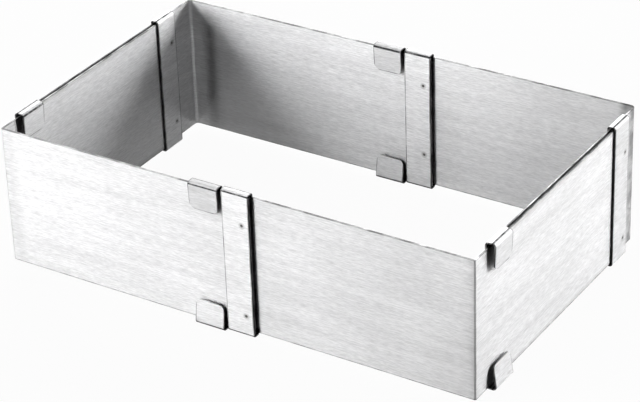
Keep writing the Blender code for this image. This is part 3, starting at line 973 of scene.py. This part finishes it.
def brushed_steel(name, colour, finish, weld_radius, bend_shade=0.0):
    """Brushed stainless steel whose marks run along the blank."""
    material = bpy.data.materials.new(name)
    material.use_nodes = True
    builder = TreeBuilder(material.node_tree)
    surface = material.node_tree.nodes["Principled BSDF"]
    place = builder.add("ShaderNodeUVMap", uv_map=BLANK_MAP).outputs["UV"]

    def effect(name, make, inputs):
        tree = bpy.data.node_groups.get(name) or make(name)
        return builder.add("ShaderNodeGroup", inputs, node_tree=tree).outputs

    def mark(name, width, strength):
        inputs = {"Place": place, "Width": width, "Strength": strength}
        return effect(name, mark_group, inputs)["Mask"]

    grain = effect("brushed_grain", grain_group, {
        "Place": place,
        "Steel": (*colour, 1),
        "Streak Contrast": finish.streak_contrast,
        "Cloud Contrast": finish.cloud_contrast,
        "Polished Roughness": finish.polished_roughness,
        "Brushed Roughness": finish.brushed_roughness,
    })
    dimming = {"Place": place, "Strength": finish.shut_in, "Handling": finish.handling}
    dimmed = effect("shut_in_side", gap_shade_group, dimming)
    scorched = effect("weld_scorch", weld_group, {"Radius": weld_radius})["Mask"]
    toned = grain["Colour"]
    # Over the grain: the burnished rim with its painted highlight, the dimmed outsides, painted shade along
    # the bends, the rims and in the folds, painted shade on the shut-in sides, and the scorched weld dents
    for mask, mask_colour in (
        (mark("burnished_rim", finish.edge_width, finish.edge_wear_and_highlight), finish.rim_wear_highlight_colour),
        (dimmed["Handled"], finish.painted_shade_colour),
        (mark("scuffed_bend", finish.bend_shade_width, bend_shade), finish.painted_shade_colour),
        (mark("burr", finish.edge_width, finish.burr), finish.painted_shade_colour),
        (mark("press_mark", finish.fold_shade_width, finish.fold_shade_strength), finish.painted_shade_colour),
        (dimmed["Mask"], finish.gap_shade_colour),
        (scorched, finish.weld_colour),
    ):
        toned = builder.mix_colour(mask, toned, (*mask_colour, 1))
    grooves = {"Strength": 1.0, "Distance": finish.groove_depth, "Height": grain["Height"]}
    bump = builder.add("ShaderNodeBump", grooves)
    tangent = builder.add("ShaderNodeTangent", direction_type="UV_MAP", uv_map=BLANK_MAP)
    builder.feed(surface.inputs["Base Color"], toned)
    builder.feed(surface.inputs["Roughness"], grain["Roughness"])
    builder.feed(surface.inputs["Normal"], bump.outputs["Normal"])
    builder.feed(surface.inputs["Tangent"], tangent.outputs["Tangent"])
    surface.inputs["Metallic"].default_value = 1
    surface.inputs["Anisotropic"].default_value = finish.anisotropy
    surface.inputs["Anisotropic Rotation"].default_value = ACROSS_THE_BRUSHING
    return material


def sheared_steel(name, finish):
    """The bright cut through the sheet, with shear marks across it."""
    material = bpy.data.materials.new(name)
    material.use_nodes = True
    builder = TreeBuilder(material.node_tree)
    surface = material.node_tree.nodes["Principled BSDF"]
    place = builder.add("ShaderNodeTexCoord").outputs["Object"]
    marks = builder.noise(place, SHEAR_MARKS_PER_METRE, FINE_DETAIL, 3)
    dark, light = (
        (*(factor * part for part in finish.cut_colour), 1)
        for factor in (1 - SHEAR_CONTRAST, 1 + SHEAR_CONTRAST)
    )
    shade = builder.mix_colour(builder.ramp(marks, SHEARED_SPAN), dark, light)
    builder.feed(surface.inputs["Base Color"], shade)
    smoothest = finish.cut_roughness - SHEAR_ROUGHNESS
    roughest = finish.cut_roughness + SHEAR_ROUGHNESS
    rough = builder.ramp(marks, ROUGH_SHEAR_SPAN, smoothest, roughest)
    builder.feed(surface.inputs["Roughness"], rough)
    surface.inputs["Metallic"].default_value = 1
    return material


def steel_pair(brushed, finish):
    """A piece's brushed steel, and the sheared steel that all pieces share at their cut edges."""
    return brushed, bpy.data.materials.get("sheared_steel") or sheared_steel("sheared_steel", finish)


class MOUSSE_RING_OT_corner_sheets(bpy.types.Operator):
    """Fold the four corner sheets, with the hooks of the sliding ones"""

    bl_idname = "mousse_ring.corner_sheets"
    bl_label = "Fold Corner Sheets"

    def execute(self, context):
        scene = context.scene
        sheets, bands, finish = scene.ring_sheets, scene.ring_bands, scene.ring_finish
        for order, corner in enumerate(corner_plans(sheets)):
            blank = corner_blank(corner, sheets, scene.ring_hooks)
            colour = getattr(finish, corner.body + "_colour")
            # Painted shade along this sheet's upright bend
            bend_shade = BEND_SHADES[corner.body]
            steel = brushed_steel(corner.piece + "_steel", colour, finish, bands.weld_radius, bend_shade)
            steels = steel_pair(steel, finish)
            place = (
                Matrix.Translation((*corner.place, SHEET_FOOT))
                @ Matrix.Rotation(corner.turn, 4, "Z")
                @ Matrix.Translation((-corner.arriving.length, sheets.thickness / 2, 0))
            )
            piece = fold_blank(corner.piece, blank, order * MAP_STEP, steels, place, sheets, bands)
            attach(piece, corner.body)
            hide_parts(corner.node)
        return {"FINISHED"}


class MOUSSE_RING_OT_guide_bands(bpy.types.Operator):
    """Fold the four guide bands and press their weld dents"""

    bl_idname = "mousse_ring.guide_bands"
    bl_label = "Fold Guide Bands"

    def execute(self, context):
        scene = context.scene
        sheets, bands, finish = scene.ring_sheets, scene.ring_bands, scene.ring_finish
        half = sheets.thickness / 2
        for order, band in enumerate(BANDS):
            blank = band_blank(band, sheets, bands)
            colour = getattr(finish, band.piece + "_colour")
            steel = brushed_steel(band.piece + "_steel", colour, finish, bands.weld_radius)
            steels = steel_pair(steel, finish)
            low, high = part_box(band.node)
            corner = (high.x - half, low.y) if band.turn else (low.x, low.y + half)
            place = Matrix.Translation((*corner, SHEET_FOOT)) @ Matrix.Rotation(band.turn, 4, "Z")
            map_place = BAND_MAP_START + order * MAP_STEP
            piece = fold_blank(band.piece, blank, map_place, steels, place, sheets, bands)
            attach(piece, band.body)
            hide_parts(band.node)
        return {"FINISHED"}


def white_floor(stage):
    """A pale floor that is plain white to the camera and keeps a faint shadow."""
    material = bpy.data.materials.new("floor_white")
    material.use_nodes = True
    tree = material.node_tree
    tree.nodes.clear()
    builder = TreeBuilder(tree)
    rays = builder.add("ShaderNodeLightPath").outputs
    seen = builder.product(rays["Is Camera Ray"], stage.floor_white)
    seen = builder.math("MULTIPLY_ADD", rays["Is Transmission Ray"], stage.floor_white, seen)
    seen = builder.math("MULTIPLY_ADD", rays["Is Glossy Ray"], stage.mirrored_white, seen)
    paint = builder.add("ShaderNodeBsdfDiffuse", {"Color": (*stage.floor_colour, 1)})
    glow = builder.add("ShaderNodeEmission", {"Color": WHITE, "Strength": 1.0})
    mix = builder.add("ShaderNodeMixShader", {0: seen, 1: paint.outputs[0], 2: glow.outputs[0]})
    builder.add("ShaderNodeOutputMaterial", {"Surface": mix.outputs[0]})
    return material


def light_panel(builder, direction, softness, azimuth, spread, height, light):
    """One soft panel that stands on the horizon and glows."""
    split = builder.add("ShaderNodeSeparateXYZ", {"Vector": direction}).outputs
    level = builder.add("ShaderNodeCombineXYZ", {"X": split["X"], "Y": split["Y"]}).outputs[0]
    level = builder.add("ShaderNodeVectorMath", {0: level}, operation="NORMALIZE").outputs[0]
    towards = (sin(azimuth), -cos(azimuth), 0)
    facing = builder.add("ShaderNodeVectorMath", {0: level, 1: towards}, operation="DOT_PRODUCT")
    half = softness / 2
    wide = builder.ramp(facing.outputs["Value"], (cos(spread + half), cos(spread - half)))
    high = builder.ramp(split["Z"], (sin(height - half), sin(height + half)), light, 0.0)
    return builder.product(wide, high)


def light_world(stage):
    """A dim room with three soft panels, plain white to the camera."""
    world = bpy.data.worlds.new("studio")
    bpy.context.scene.world = world
    world.use_nodes = True
    tree = world.node_tree
    tree.nodes.clear()
    builder = TreeBuilder(tree)
    direction = builder.add("ShaderNodeTexCoord").outputs["Generated"]
    lit = stage.room_light
    for panel in PANELS:
        sizes = (getattr(stage, f"{panel}_panel_{size}") for size in PANEL_SIZES)
        lit = builder.math("ADD", light_panel(builder, direction, stage.panel_softness, *sizes), lit)
    rays = builder.add("ShaderNodeLightPath").outputs
    seen = builder.math("MAXIMUM", rays["Is Camera Ray"], rays["Is Transmission Ray"])
    strength = builder.add("ShaderNodeMix", data_type="FLOAT")
    values = [socket for socket in strength.inputs if socket.type == "VALUE"]
    for socket, value in zip(values, (seen, lit, 1.0)):
        builder.feed(socket, value)
    white_light = {"Color": WHITE, "Strength": strength.outputs[0]}
    background = builder.add("ShaderNodeBackground", white_light)
    builder.add("ShaderNodeOutputWorld", {"Surface": background.outputs[0]})


class MOUSSE_RING_OT_stage(bpy.types.Operator):
    """Set the floor, the light and the camera"""

    bl_idname = "mousse_ring.stage"
    bl_label = "Set Stage"

    def execute(self, context):
        scene = context.scene
        stage = scene.ring_stage
        half = stage.floor_size / 2
        mesh = bpy.data.meshes.new("floor")
        corners = [(-half, -half, 0), (half, -half, 0), (half, half, 0), (-half, half, 0)]
        mesh.from_pydata(corners, [], [(0, 1, 2, 3)])
        mesh.materials.append(white_floor(stage))
        floor = bpy.data.objects.new("floor", mesh)
        scene.collection.objects.link(floor)
        light_world(stage)

        scene.view_settings.view_transform = "Standard"
        camera = bpy.data.cameras.new("photo_camera")
        camera.lens = stage.lens
        camera.sensor_width = SENSOR_WIDTH
        camera.clip_start = NEAREST_SEEN
        camera.clip_end = FARTHEST_SEEN
        holder = bpy.data.objects.new("photo_camera", camera)
        scene.collection.objects.link(holder)
        turn = (
            Matrix.Rotation(stage.azimuth, 4, "Z")
            @ Matrix.Rotation(pi / 2 - stage.elevation, 4, "X")
            @ Matrix.Rotation(stage.roll, 4, "Z")
        )
        back = turn @ Vector((0, 0, stage.distance))
        holder.matrix_world = Matrix.Translation(Vector(stage.aim) + back) @ turn
        scene.camera = holder
        return {"FINISHED"}


class MOUSSE_RING_PT_panel(bpy.types.Panel):
    """Lists the ring's steps and sizes"""

    bl_idname = "MOUSSE_RING_PT_panel"
    bl_label = "Mousse Ring"
    bl_space_type = "VIEW_3D"
    bl_region_type = "UI"
    bl_category = "Mousse Ring"

    def draw(self, context):
        for step in STEPS:
            self.layout.operator(step.bl_idname)
        for group_name in GROUPS:
            group = getattr(context.scene, group_name)
            box = self.layout.box()
            box.label(text=group.bl_rna.description)
            for property_name in group.__annotations__:
                box.prop(group, property_name)


STEPS = (MOUSSE_RING_OT_corner_sheets, MOUSSE_RING_OT_guide_bands, MOUSSE_RING_OT_stage)
GROUPS = {
    "ring_sheets": RingSheetSizes,
    "ring_hooks": RingHookSizes,
    "ring_bands": RingBandSizes,
    "ring_finish": RingFinish,
    "ring_stage": RingStage,
}
CLASSES = (*GROUPS.values(), *STEPS, MOUSSE_RING_PT_panel)


def register():
    for listed in CLASSES:
        bpy.utils.register_class(listed)
    for group_name, group in GROUPS.items():
        setattr(bpy.types.Scene, group_name, PointerProperty(type=group))


def unregister():
    for group_name in GROUPS:
        delattr(bpy.types.Scene, group_name)
    for listed in reversed(CLASSES):
        bpy.utils.unregister_class(listed)


def main():
    register()
    bpy.ops.mousse_ring.corner_sheets()
    bpy.ops.mousse_ring.guide_bands()
    bpy.ops.mousse_ring.stage()


if __name__ == "__main__":
    main()
